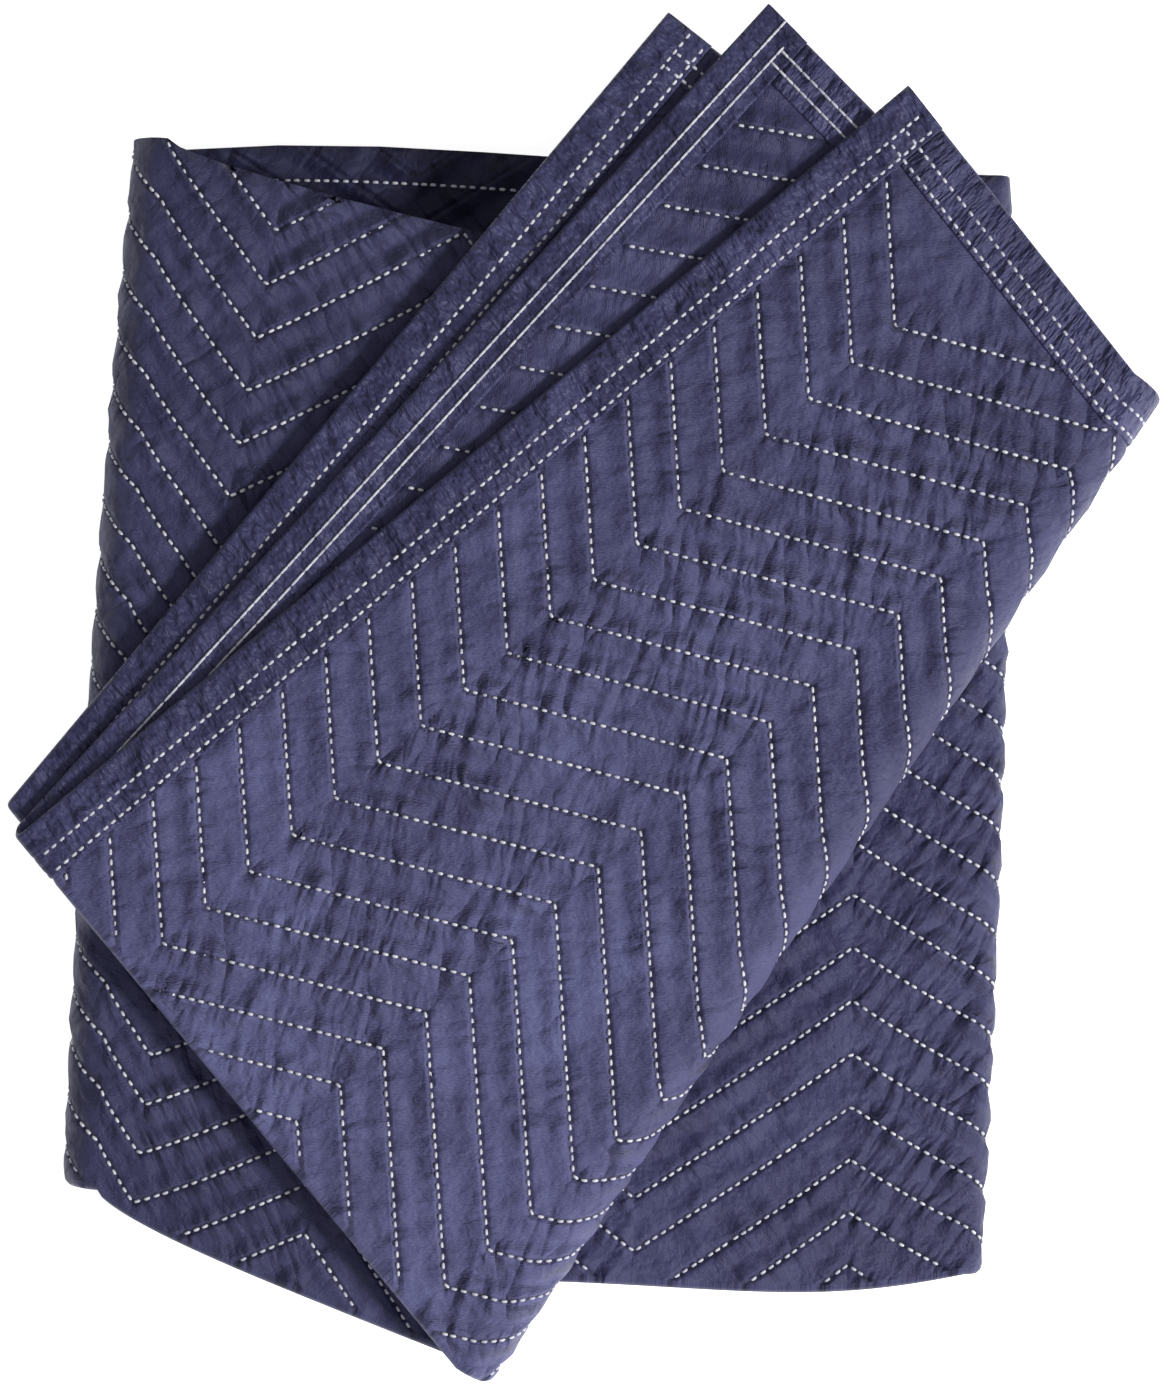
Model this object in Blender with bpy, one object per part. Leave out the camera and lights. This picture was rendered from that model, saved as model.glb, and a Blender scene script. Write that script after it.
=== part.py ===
# A moving blanket: a quilted cloth with bound edges, folded into a packet.
# The cloth is first doubled along its length, so that a section across it is a hairpin of two sheets.
# The doubled strip then runs back and forth in five folds, and its last fold lies across the packet
# at a slant, with the bound ends fanned out on top. Metres, +Z up, the packet lying on Z = 0.

import bmesh
import bpy
import numpy as np

# Driving dimensions
SHEET = 0.0040  # thickness of the quilted cloth
SHEET_GAP = 0.0015  # air between the two sheets of the doubled strip
STRIP_GAP = 0.0015  # air between two passes of the strip
BINDING_WIDTH = 0.030
BINDING_WALL = 0.0008  # thickness of the folded binding tape
MARGIN = 0.0024  # thickness of the cloth where the binding presses it
CLEARANCE = 0.0003  # between the binding and the cloth inside it

# Quilting
LINES_ACROSS = 20.5  # zigzag lines side by side across the strip
ARM_LENGTH = 0.118  # half a zigzag, along the strip
ARM_RISE = 2.85  # lines that one arm crosses
CREST = 0.0005  # height of the cloth midway between two sewn lines
GROOVE = 0.0018  # depth of a sewn line below that

# Worked out from them
SHEET_OFFSET = (SHEET + SHEET_GAP) / 2
STRIP = 2 * SHEET + SHEET_GAP
PITCH = STRIP + STRIP_GAP
STRIP_WIDTH = 0.620
MARGIN_START = BINDING_WIDTH + 0.0045  # where the cloth starts to be pressed, from its bound edge
MARGIN_FULL = BINDING_WIDTH + 0.0005
EDGE = BINDING_WALL + CLEARANCE  # from the outside of the binding to the cloth's own edge

# Fold lines and ends in plan: the doubled side's x and y, the open side's x and y, and how far the line
# bows to the right between them
LINES = {
    "front end, upper sheet": (-0.2976, -0.0734, 0.1732, 0.3236, 0.0),
    "front end, lower sheet": (-0.3007, -0.0696, 0.0993, 0.3685, 0.0),
    "slant fold": (-0.0645, -0.3555, 0.2940, 0.1705, 0.0),
    "inner fold": (-0.0887, -0.3170, -0.0050, 0.2850, 0.0),
    "right fold": (0.2100, -0.3140, 0.2262, 0.2850, 0.0045),
    "left fold": (-0.2617, -0.2637, -0.2234, 0.3010, -0.0040),
    "back end": (-0.3059, -0.0558, 0.0460, 0.3651, 0.0),
}

# Passes of the strip: first line of the sewn face's sheet, first line of the other sheet, last line,
# level in the stack, and 1 where the sewn face looks up
PASSES = {
    "top flap": ("front end, upper sheet", "front end, lower sheet", "slant fold", 5, 1),
    "second pass": ("slant fold", "slant fold", "inner fold", 2, -1),
    "right panel": ("inner fold", "inner fold", "right fold", 1, 1),
    "bottom": ("right fold", "right fold", "left fold", 0, -1),
    "left panel": ("left fold", "left fold", "slant fold", 3, 1),
    "under flap": ("slant fold", "slant fold", "back end", 4, -1),
}

# How far the edges of a pass bow outwards: the doubled edge and where it bows most, then the open edge,
# as powers of the way along the pass
BOWS = {
    "right panel": (0.009, 2.0, 0.003, 1.0),
    "bottom": (0.009, 0.41, 0.006, 2.5),
    "left panel": (0.008, 0.5, -0.009, 0.5),
}

# Folds between them: line, levels before and after, the side to which it bulges (1 is right),
# and 1 where the sewn face is outside
FOLDS = {
    "outer slant": ("slant fold", 5, 2, 1, 1),
    "inner": ("inner fold", 2, 1, -1, -1),
    "right": ("right fold", 1, 0, 1, 1),
    "left": ("left fold", 0, 3, -1, 1),
    "inner slant": ("slant fold", 3, 4, 1, -1),
}

# The strip's way from its front end to its back end, with the number of steps in each stage
ROUTE = (
    ("top flap", 9),
    ("outer slant", 6),
    ("second pass", 2),
    ("inner", 4),
    ("right panel", 8),
    ("right", 4),
    ("bottom", 2),
    ("left", 6),
    ("left panel", 11),
    ("inner slant", 4),
    ("under flap", 3),
)

# Zigzags of the passes whose sewn face shows: length along the doubled side, what the open side adds,
# 1 where it is measured from the far end, the place of a turn, what the open side adds to that,
# 0 for a low turn or 1 for a high one, and the share of a line at which the count starts
ZIGZAGS = {
    "top flap": (0.366, -0.171, 0, 0.090, 0.0, 0, 0.82),
    "right panel": (0.301, -0.069, 1, 0.082, 0.0, 1, 0.22),
    "left panel": (0.222, 0.312, 0, 0.024, 0.038, 0, 0.15),
}

# Folds that carry a pass's zigzags on round, and the end of the pass that they meet
ZIGZAG_FOLDS = {
    "outer slant": ("top flap", 1),
    "right": ("right panel", 1),
    "left": ("left panel", 0),
}

BOUND_SIDES = ("top flap", "outer slant", "second pass", "inner slant", "under flap")
BOUND_ENDS = {"top flap": 0, "under flap": 1}  # the end of the pass that is bound

# Columns across the strip, from the doubled side to the bound or tucked edge
PLAIN_COLUMNS = (0.0, 0.15, 0.33, 0.5, 0.67, 0.83)
MARGIN_COLUMNS = tuple(1 - metres / STRIP_WIDTH for metres in (MARGIN_START, MARGIN_FULL, EDGE))
SEWN_COLUMNS = 37  # half lines that the sewn face's columns follow
SEWN_EDGE = 0.12  # share of the width in which the columns straighten towards each edge
CAP_STEPS = 4  # round the doubled side
SIDE_BINDING_TAIL = 0.1  # share of the second pass that keeps its side binding

# Colour and roughness
LOOKS = {
    "cloth": ((0.055, 0.058, 0.150, 1.0), 0.85),
    "binding": ((0.045, 0.048, 0.135, 1.0), 0.75),
}


def smooth(x):
    """0 below 0, 1 above 1, and a smooth step between."""
    x = np.clip(x, 0.0, 1.0)
    return x * x * (3 - 2 * x)


def line_ends(name):
    values = np.array(LINES[name])
    return values[:2], values[2:4]


def along_line(upper, lower, share, across, beyond):
    """Points on a line across the strip: share is 1 on the sewn sheet, beyond runs past the doubled side."""
    share = share[:, None]
    upper_start, upper_end = line_ends(upper)
    lower_start, lower_end = line_ends(lower)
    start = share * upper_start + (1 - share) * lower_start
    reach = share * upper_end + (1 - share) * lower_end - start
    unit = reach / np.linalg.norm(reach, axis=1)[:, None]
    right = np.column_stack((unit[:, 1], -unit[:, 0]))
    bow = (share * LINES[upper][4] + (1 - share) * LINES[lower][4]) * np.sin(np.pi * across)[:, None]
    return start + reach * across[:, None] - unit * beyond[:, None] + right * bow


def pass_lines(stage, share, across, beyond):
    """Points on the first and on the last line of a pass."""
    upper, lower, last, _, _ = PASSES[stage]
    return along_line(upper, lower, share, across, beyond), along_line(last, last, share, across, beyond)


def on_pass(stage, step, share, across, beyond, offset):
    first, last = pass_lines(stage, share, across, beyond)
    flat = first + (last - first) * step[:, None]
    doubled, doubled_power, free, free_power = BOWS.get(stage, (0.0, 1.0, 0.0, 1.0))
    flat[:, 1] += free * across * np.sin(np.pi * step**free_power)
    flat[:, 1] -= doubled * (1 - across) * np.sin(np.pi * step**doubled_power)
    level, up = PASSES[stage][3:]
    height = STRIP / 2 + level * PITCH + up * offset
    return np.column_stack((flat, height))


def on_fold(stage, step, share, across, beyond, offset):
    line, before, after, side, out = FOLDS[stage]
    low, high = line_ends(line)
    unit = (high - low) / np.linalg.norm(high - low)
    base = along_line(line, line, share, across, beyond)
    turn = np.pi * (step if before > after else 1 - step)
    radius = abs(before - after) * PITCH / 2
    reach = radius + out * offset
    flat = base + side * np.outer(reach * np.sin(turn), (unit[1], -unit[0]))
    height = STRIP / 2 + min(before, after) * PITCH + radius + reach * np.cos(turn)
    return np.column_stack((flat, height))


def place(stage, step, share, across, beyond, offset):
    """World points: step runs 0 to 1 along a pass or fold, offset is out from the strip's middle."""
    found = on_pass if stage in PASSES else on_fold
    return found(stage, step, share, across, beyond, offset)


def zigzag(stage, step, across):
    """The line count at a place on the sewn face: a whole number on each sewn line."""
    length, added, far, turn, turn_added, high, start = ZIGZAGS[stage]
    reach = (length + added * across) * (1 - step if far else step)
    arms = (reach - turn - turn_added * across) / ARM_LENGTH + high
    rise = 1 - np.abs(arms % 2 - 1)
    return LINES_ACROSS * across - ARM_RISE * rise - start


def relief(stage, step, across):
    """Height of the sewn face over its mean: a crest between two lines, and a groove on each."""
    fade = 1.0
    if stage in ZIGZAG_FOLDS:
        stage, end = ZIGZAG_FOLDS[stage]
        fade = smooth(1.5 - 1.5 * (step if end else 1 - step))
        step = np.full(len(step), float(end))
    if stage not in ZIGZAGS:
        return np.zeros(len(step))
    lines = zigzag(stage, step, across)
    return fade * (CREST - GROOVE * (1 - np.abs(np.sin(np.pi * lines))))


def pressed(stage, step, share, across, beyond):
    """1 where a binding presses the cloth, 0 where it lies free."""
    found = np.zeros(len(step))
    if stage in BOUND_SIDES:
        start, full = MARGIN_COLUMNS[:2]
        found = np.maximum(found, smooth((across - start) / (full - start)))
    if stage in BOUND_ENDS:
        first, last = pass_lines(stage, share, across, beyond)
        from_end = np.linalg.norm(last - first, axis=1) * (1 - step if BOUND_ENDS[stage] else step)
        found = np.maximum(found, smooth((MARGIN_START - from_end) / (MARGIN_START - MARGIN_FULL)))
    return found


def steps_at(stage, metres, rest, share, across, beyond):
    """A station's step: this many metres from the pass's bound end, and this share of the rest."""
    if stage not in BOUND_ENDS:
        return np.full(len(share), rest)
    first, last = pass_lines(stage, share, across, beyond)
    step = metres / np.linalg.norm(last - first, axis=1)
    step = step + rest * (1 - step)
    return 1 - step if BOUND_ENDS[stage] else step


def stations():
    """Each station along the strip: its stage, metres from a bound end, and share of the rest."""
    found = []
    for stage, count in ROUTE:
        rest = [(stage, MARGIN_START, share) for share in np.linspace(0, 1, count + 1)]
        margin = [(stage, EDGE, 0.0), (stage, MARGIN_FULL, 0.0)]
        if stage not in BOUND_ENDS:
            found += rest[1:]
        elif BOUND_ENDS[stage]:
            found += rest[-2::-1] + margin[::-1]
        else:
            found += margin + rest
    return found


def sewn_columns(stage, metres, rest):
    """Columns of the sewn face, which follow the zigzags and straighten towards each edge."""
    turned, end = ZIGZAG_FOLDS.get(stage, (stage, None))
    start = ZIGZAGS[turned][-1] if turned in ZIGZAGS else 0.5
    base = (np.arange(SEWN_COLUMNS) / 2 + (start + ARM_RISE / 2) % 0.5 + 0.5) / LINES_ACROSS
    ones = np.ones(len(base))
    if turned in ZIGZAGS:
        step = steps_at(stage, metres, rest, ones, base, 0 * ones)
        step = step if end is None else end * ones
        rise = (LINES_ACROSS * base - start - zigzag(turned, step, base)) / ARM_RISE
        blend = smooth(base / SEWN_EDGE) * smooth((MARGIN_COLUMNS[0] - base) / SEWN_EDGE)
        base = base + blend * (rise - 0.5) * ARM_RISE / LINES_ACROSS
    return np.concatenate(((0.0,), base, MARGIN_COLUMNS))


def hairpin(columns, other, side):
    """One face of the doubled strip, from the sewn sheet's open edge round to the other sheet's.
    Side is 1 for the outer face and -1 for the inner one. Rows: share, across, beyond, offset, side."""
    down = columns[::-1]
    angles = np.linspace(0, np.pi, CAP_STEPS + 1)[1:-1]
    share = np.concatenate((np.ones(len(down)), (1 + np.cos(angles)) / 2, np.zeros(len(other))))
    across = np.concatenate((down, 0 * angles, other))
    angle = np.concatenate((np.zeros(len(down)), angles, np.full(len(other), np.pi)))
    return share, across, angle, np.full(len(share), float(side))


def section_points(stage, metres, rest, rows, half, raised):
    """World points of a section's rows. Half is half the thickness at each, or None for the cloth's own."""
    share, across, angle, side = rows
    none = np.zeros(len(share))
    step = steps_at(stage, metres, rest, share, across, none)
    if half is None:
        press = pressed(stage, step, share, across, none)
        half = SHEET / 2 + (MARGIN - SHEET) / 2 * press
        half = half + raised * (1 - press) * relief(stage, step, across)
    reach = SHEET_OFFSET + side * half
    return place(stage, step, share, across, reach * np.sin(angle), reach * np.cos(angle))


def cloth_section(stage, metres, rest):
    """The cloth's section as one loop of points: the outer face out, and the inner face back."""
    plain = np.array(PLAIN_COLUMNS + MARGIN_COLUMNS)
    outer = hairpin(sewn_columns(stage, metres, rest), plain, 1)
    inner = hairpin(plain, plain, -1)
    raised = (outer[0] == 1) & (outer[1] > 0)
    out = section_points(stage, metres, rest, outer, None, raised)
    back = section_points(stage, metres, rest, inner, None, 0)
    return np.concatenate((out, back[::-1]))


def loft_faces(rows, loop):
    """Quads between neighbouring sections of a closed loop."""
    first, second = np.meshgrid(np.arange(rows - 1), np.arange(loop), indexing="ij")
    after = (second + 1) % loop
    corners = (first * loop + second, first * loop + after, (first + 1) * loop + after, (first + 1) * loop + second)
    return np.stack(corners, axis=-1).reshape(-1, 4).tolist()


def end_faces(outer, inner):
    """Triangles that close an end between a fine outer edge and a coarse inner one."""
    found = []
    i = j = 0
    while i < len(outer) - 1 or j < len(inner) - 1:
        next_outer = outer[i + 1][1] if i < len(outer) - 1 else np.inf
        next_inner = inner[j + 1][1] if j < len(inner) - 1 else np.inf
        if next_outer <= next_inner:
            found.append((outer[i][0], outer[i + 1][0], inner[j][0]))
            i += 1
        else:
            found.append((outer[i][0], inner[j + 1][0], inner[j][0]))
            j += 1
    return found


def edge_order(first, columns, other, step):
    """Vertex numbers along one face's end, each with how far it is along the hairpin."""
    _, across, angle, _ = hairpin(columns, other, 1)
    along = np.where(angle == 0, 1 - across, np.where(angle == np.pi, 1.05 + across, 1 + 0.05 * angle / np.pi))
    return [(first + step * i, place_along) for i, place_along in enumerate(along)]


def cloth_shape():
    sections = [cloth_section(*station) for station in stations()]
    loop = len(sections[0])
    faces = loft_faces(len(sections), loop)
    plain = np.array(PLAIN_COLUMNS + MARGIN_COLUMNS)
    for number, station in ((0, stations()[0]), (len(sections) - 1, stations()[-1])):
        outer = edge_order(number * loop, sewn_columns(*station), plain, 1)
        inner = edge_order(number * loop + loop - 1, plain, plain, -1)
        faces += end_faces(outer, inner)
    return np.concatenate(sections), faces


def binding_section():
    """Section of the binding, a channel folded over the cloth's edge: metres from the edge, and offset."""
    inside = MARGIN / 2 + CLEARANCE
    outside = inside + BINDING_WALL
    bevel = BINDING_WALL * 0.7
    return (
        (BINDING_WIDTH, outside),
        (bevel, outside),
        (0.0, outside - bevel),
        (0.0, bevel - outside),
        (bevel, -outside),
        (BINDING_WIDTH, -outside),
        (BINDING_WIDTH, -inside),
        (BINDING_WALL, -inside),
        (BINDING_WALL, inside),
        (BINDING_WIDTH, inside),
    )


def end_binding(stage):
    """The binding of an end, round both sheets of the doubled strip."""
    columns = np.array(PLAIN_COLUMNS + (MARGIN_COLUMNS[0], 1.0))
    line = hairpin(columns, columns, 1)
    rows = []
    for metres, offset in binding_section():
        rows.append(section_points(stage, metres, 0.0, line, offset, 0))
    return np.stack(rows, axis=1)


def side_binding(stages, sheet):
    """The binding of the open side of one sheet: the sewn one is 1, the other 0."""
    inward, offset = np.array(binding_section()).T
    none = np.zeros(len(inward))
    rows = (none + sheet, 1 - inward / STRIP_WIDTH, none + np.pi * (1 - sheet), none + 1)
    sections = [
        section_points(stage, metres, rest, rows, offset, 0)
        for stage, metres, rests in stages
        for rest in rests
    ]
    return np.array(sections)


def binding_shape(sections):
    """A closed body from the binding's sections, with flat ends."""
    rows, loop = sections.shape[:2]
    faces = loft_faces(rows, loop)
    faces.append(tuple(range(loop)))
    faces.append(tuple(range((rows - 1) * loop, rows * loop)))
    return sections.reshape(-1, 3), faces


def make_material(name, colour, roughness):
    material = bpy.data.materials.new(name)
    material.use_nodes = True
    shader = material.node_tree.nodes["Principled BSDF"]
    shader.inputs["Base Color"].default_value = colour
    shader.inputs["Roughness"].default_value = roughness
    shader.inputs["Metallic"].default_value = 0.0
    return material


def make_object(name, shape, material, collection, shift):
    points, faces = shape
    mesh = bpy.data.meshes.new(name)
    mesh.from_pydata((points - shift).tolist(), [], faces)
    cage = bmesh.new()
    cage.from_mesh(mesh)
    bmesh.ops.recalc_face_normals(cage, faces=cage.faces)
    cage.to_mesh(mesh)
    cage.free()
    mesh.shade_smooth()
    mesh.set_sharp_from_angle(angle=np.radians(50))
    mesh.materials.append(material)
    collection.objects.link(bpy.data.objects.new(name, mesh))


def main():
    for old in list(bpy.data.objects):
        bpy.data.objects.remove(old)
    collection = bpy.data.collections.new("moving_blanket")
    bpy.context.scene.collection.children.link(collection)

    # The side bindings butt against the end ones; the front pair runs round the slant fold and a little on
    start = BINDING_WIDTH + CLEARANCE
    flap = ("top flap", start, np.linspace(0, 1, 6))
    slant = ("outer slant", 0.0, np.linspace(0, 1, 7)[1:])
    tail = ("second pass", 0.0, (SIDE_BINDING_TAIL,))
    back = ("under flap", start, np.linspace(0, 1, 6)[:-1])
    shapes = {
        "quilted_cloth": cloth_shape(),
        "front_end_binding": binding_shape(end_binding("top flap")),
        "front_side_binding_upper": binding_shape(side_binding((flap, slant, tail), 1)),
        "front_side_binding_lower": binding_shape(side_binding((flap, slant, tail), 0)),
        "back_end_binding": binding_shape(end_binding("under flap")),
        "back_side_binding_upper": binding_shape(side_binding((back,), 0)),
        "back_side_binding_lower": binding_shape(side_binding((back,), 1)),
    }

    # The origin is the middle of the packet's box, on the surface it lies on
    points = np.concatenate([shape[0] for shape in shapes.values()])
    shift = (points.min(axis=0) + points.max(axis=0)) / 2
    shift[2] = 0.0
    for name, shape in shapes.items():
        colour, roughness = LOOKS["cloth" if name == "quilted_cloth" else "binding"]
        material = make_material(name, colour, roughness)
        make_object(name, shape, material, collection, shift)


main()
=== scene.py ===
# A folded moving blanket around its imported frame: quilted cloth, bindings and their stitching
import bpy
import numpy as np
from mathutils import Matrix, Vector


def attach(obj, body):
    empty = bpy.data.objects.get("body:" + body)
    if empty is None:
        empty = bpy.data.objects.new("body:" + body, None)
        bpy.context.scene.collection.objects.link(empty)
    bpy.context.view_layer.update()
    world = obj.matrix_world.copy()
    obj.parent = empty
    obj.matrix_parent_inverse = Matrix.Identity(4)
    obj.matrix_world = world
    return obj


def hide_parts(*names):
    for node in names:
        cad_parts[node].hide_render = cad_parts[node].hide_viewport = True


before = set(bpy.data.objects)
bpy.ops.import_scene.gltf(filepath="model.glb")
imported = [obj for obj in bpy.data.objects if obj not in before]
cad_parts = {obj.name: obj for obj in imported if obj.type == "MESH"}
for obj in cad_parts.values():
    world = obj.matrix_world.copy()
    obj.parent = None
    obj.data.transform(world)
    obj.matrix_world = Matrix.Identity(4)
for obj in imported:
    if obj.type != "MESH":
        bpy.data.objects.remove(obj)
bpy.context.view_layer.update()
print("frame loaded")

rng = np.random.default_rng(7)
fullTurn = 6.283  # radians, for waves

# The fold's sizes, as in the part
sheetThick = 0.0040
marginThick = 0.0024  # where a binding presses the sheet
sheetOffset = 0.00275  # from the strip's middle to a sheet's middle
stripHalf = 0.00475
stripWidth = 0.620  # from the doubled side to the open side
pitch = 0.011  # between two passes of the strip
planShift = np.array((0.001348, -0.000480))  # middle of the packet, measured as the lines are

# Each line's doubled side x and y, open side x and y, and how far it bows to the right between them
lines = {
    "frontUpper": (-0.2976, -0.0734, 0.1732, 0.3236, 0.0),
    "frontLower": (-0.3007, -0.0696, 0.0993, 0.3685, 0.0),
    "slant": (-0.0645, -0.3555, 0.2940, 0.1705, 0.0),
    "inner": (-0.0887, -0.3170, -0.0050, 0.2850, 0.0),
    "right": (0.2100, -0.3140, 0.2262, 0.2850, 0.0045),
    "left": (-0.2617, -0.2637, -0.2234, 0.3010, -0.0040),
    "back": (-0.3059, -0.0558, 0.0460, 0.3651, 0.0),
}
# First line of the sewn sheet, of the other sheet, last line, level, 1 where the sewn face looks up
passes = {
    "topFlap": ("frontUpper", "frontLower", "slant", 5, 1),
    "secondPass": ("slant", "slant", "inner", 2, -1),
    "rightPanel": ("inner", "inner", "right", 1, 1),
    "bottom": ("right", "right", "left", 0, -1),
    "leftPanel": ("left", "left", "slant", 3, 1),
    "underFlap": ("slant", "slant", "back", 4, -1),
}
# How far the doubled edge bows out and where along the pass, as a power, then the same for the open edge
bows = {
    "rightPanel": (0.009, 2.0, 0.003, 1.0),
    "bottom": (0.009, 0.41, 0.006, 2.5),
    "leftPanel": (0.008, 0.5, -0.009, 0.5),
}
# Line, levels before and after, side it bulges to, 1 where the sewn face is outside
folds = {
    "outerSlant": ("slant", 5, 2, 1, 1),
    "innerFold": ("inner", 2, 1, -1, -1),
    "rightFold": ("right", 1, 0, 1, 1),
    "leftFold": ("left", 0, 3, -1, 1),
    "innerSlant": ("slant", 3, 4, 1, -1),
}
boundSides = ("topFlap", "outerSlant", "secondPass", "innerSlant", "underFlap")
boundEnds = {"topFlap": 0, "underFlap": 1}  # 0 where the pass starts at its bound end
pressSet = {"width": 0.0345, "fade": 0.004}  # how far in from an edge its binding presses the cloth

# Zigzags of each pass. reach: its length on the doubled side and what the open side adds; otherReach: the
# same on the other sheet; far: 1 where the length counts from the far end; turn: a turn's place, with terms
# for the way across and its cube; arm: length of one arm; high: 1 where that turn is a high one; lines: line
# counts across the strip, their square term and the start; other: the start on the other sheet
zigzags = {
    "topFlap": {"reach": (0.366, -0.171), "otherReach": (0.371, -0.093), "far": 0, "turn": (0.0935, 0.0, 0.0),
                "arm": 0.118, "high": 0, "lines": (20.5, 0.0, -0.65), "other": -0.975},
    "rightPanel": {"reach": (0.301, -0.069), "far": 1, "turn": (0.0653, 0.015, 0.0), "arm": 0.118, "high": 1,
                   "lines": (21.0, 0.0, -0.51), "other": -0.51},
    "leftPanel": {"reach": (0.222, 0.312), "far": 0, "turn": (0.021, 0.040, 0.004), "arm": 0.100, "high": 0,
                  "lines": (21.225, -1.1, -1.181), "other": -1.181},
    "bottom": {"reach": (0.477, -0.026), "far": 0, "turn": (0.082, 0.0, 0.0), "arm": 0.118, "high": 1,
               "lines": (20.5, 0.0, -0.22), "other": -0.22},
    "secondPass": {"reach": (0.046, 0.274), "far": 0, "turn": (0.072, 0.0, 0.0), "arm": 0.118, "high": 1,
                   "lines": (20.5, 0.0, -0.65), "other": -0.83},
    "underFlap": {"reach": (0.385, -0.070), "far": 1, "turn": (0.090, 0.0, 0.0), "arm": 0.118, "high": 0,
                  "lines": (20.5, 0.0, -0.82), "other": -0.82},
}
# Folds that carry a pass's zigzags round: the pass, its end, the fold's end that meets it, metres round
zigzagFolds = {
    "outerSlant": ("topFlap", 1, 0, 0.0668),
    "rightFold": ("rightPanel", 1, 0, -0.0322),
    "leftFold": ("leftPanel", 0, 1, 0.0668),
    "innerFold": ("secondPass", 1, 0, 0.0),
    "innerSlant": ("leftPanel", 1, 0, 0.0),
}
# rise: line counts between a low and a high turn; last: no line above this count on the flap
quilt = {"rise": 2.85, "last": 17.5, "crest": 0.0007, "groove": 0.0022, "sharpness": 1.5}
rippleSet = {"waves": 9, "shortest": 0.013, "longest": 0.030, "height": 0.00019}


def smooth(x):
    # 0 to 1 with level ends: three squares less two cubes
    x = np.clip(x, 0.0, 1.0)
    return x * x * (3 - 2 * x)


def lineEnds(name):
    # The line's point on the doubled side and its point on the open side
    v = np.array(lines[name])
    return v[:2], v[2:4]


def alongLine(upper, lower, share, across, beyond):
    # A point across the strip's line between its two ends, bowed by a half sine; beyond is how far past the
    # doubled side
    share = share[:, None]
    a, b = lineEnds(upper)
    c, d = lineEnds(lower)
    start = share * a + (1 - share) * c
    reach = share * b + (1 - share) * d - start
    unit = reach / np.linalg.norm(reach, axis=1)[:, None]
    right = np.column_stack((unit[:, 1], -unit[:, 0]))
    bow = (share * lines[upper][4] + (1 - share) * lines[lower][4]) * np.sin(np.pi * across)[:, None]
    return start + reach * across[:, None] - unit * beyond[:, None] + right * bow


def passLines(stage, share, across, beyond):
    # The same place across on the pass's first line and on its last
    upper, lower, last = passes[stage][:3]
    return alongLine(upper, lower, share, across, beyond), alongLine(last, last, share, across, beyond)


def place(stage, step, share, across, angle, reach):
    # World points. reach is out from the strip's middle, turned by angle round the doubled side. A pass runs
    # straight from line to line with its edges bowed, and a fold is a half circle about its line
    beyond = reach * np.sin(angle)
    offset = reach * np.cos(angle)
    if stage in passes:
        first, last = passLines(stage, share, across, beyond)
        flat = first + (last - first) * step[:, None]
        doubled, doubledPower, free, freePower = bows.get(stage, (0.0, 1.0, 0.0, 1.0))
        flat[:, 1] += free * across * np.sin(np.pi * step ** freePower)
        flat[:, 1] -= doubled * (1 - across) * np.sin(np.pi * step ** doubledPower)
        level, up = passes[stage][3:]
        height = stripHalf + level * pitch + up * offset
    else:
        line, before, after, side, out = folds[stage]
        low, high = lineEnds(line)
        unit = (high - low) / np.linalg.norm(high - low)
        base = alongLine(line, line, share, across, beyond)
        turn = np.pi * (step if before > after else 1 - step)
        radius = abs(before - after) * pitch / 2
        far = radius + out * offset
        flat = base + side * np.outer(far * np.sin(turn), (unit[1], -unit[0]))
        height = stripHalf + min(before, after) * pitch + radius + far * np.cos(turn)
    return np.column_stack((flat - planShift, np.maximum(height, 0.0)))


def zigzagOf(stage):
    # A fold's zigzags are those of the pass that it carries round
    return zigzags[zigzagFolds[stage][0] if stage in zigzagFolds else stage]


def passReach(stage, step, across, signed):
    # Metres along the strip, from the end that its zigzags are measured from, carried on round a fold
    extra = 0.0
    if stage in zigzagFolds:
        stage, end, meets, run = zigzagFolds[stage]
        extra = (step - meets) * run
        step = np.full(len(across), float(end))
    zig = zigzags[stage]
    length = zig["reach"][0] + zig["reach"][1] * across
    other = zig.get("otherReach", zig["reach"])
    length = np.where(signed < 0, other[0] + other[1] * across, length)
    return length * (1 - step if zig["far"] else step) + extra


def lineValue(stage, signed):
    # Line count across the strip before the zigzags lower it: a square curve, or straight on the other sheet
    zig = zigzagOf(stage)
    first, second, start = zig["lines"]
    return np.where(signed < 0, first * signed + zig["other"], first * signed + second * signed ** 2 + start)


def quiltCount(stage, step, across, signed):
    # Arms passed along the strip, and the line count, which each arm lowers or raises; whole on a sewn line
    zig = zigzagOf(stage)
    turn = zig["turn"][0] + zig["turn"][1] * across + zig["turn"][2] * across ** 3
    arms = (passReach(stage, step, across, signed) - turn) / zig["arm"] + zig["high"]
    count = lineValue(stage, signed) - quilt["rise"] * armRise(arms)
    if zig is zigzags["topFlap"]:
        count = np.minimum(count, quilt["last"])
    return arms, count


def armRise(arms):
    # 0 at an even turn, 1 at an odd one, straight between
    return 1 - np.abs(arms % 2 - 1)


def solveAcross(stage, step, number, sign):
    # The way across at which the count is this number: what the arms take off where the last try was is added
    # to the number, and the place with that line value is looked up by interpolation, ten times over
    reach = 1.25
    grid = np.linspace(0, reach, 251)
    values = lineValue(stage, sign * (grid + 1e-9))
    order = np.argsort(values)
    slope = (values[-1] - values[0]) / reach
    middle = sign * 0.5
    across = np.full(len(number), 0.5)
    for _ in range(10):
        count = quiltCount(stage, step, np.clip(across, 0, 1), middle)[1]
        wanted = number - (count - lineValue(stage, np.array(middle)))
        found = np.interp(wanted, values[order], grid[order])
        below = (wanted - values[0]) / slope
        across = np.where(below < 0, below, found)
    return across


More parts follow.
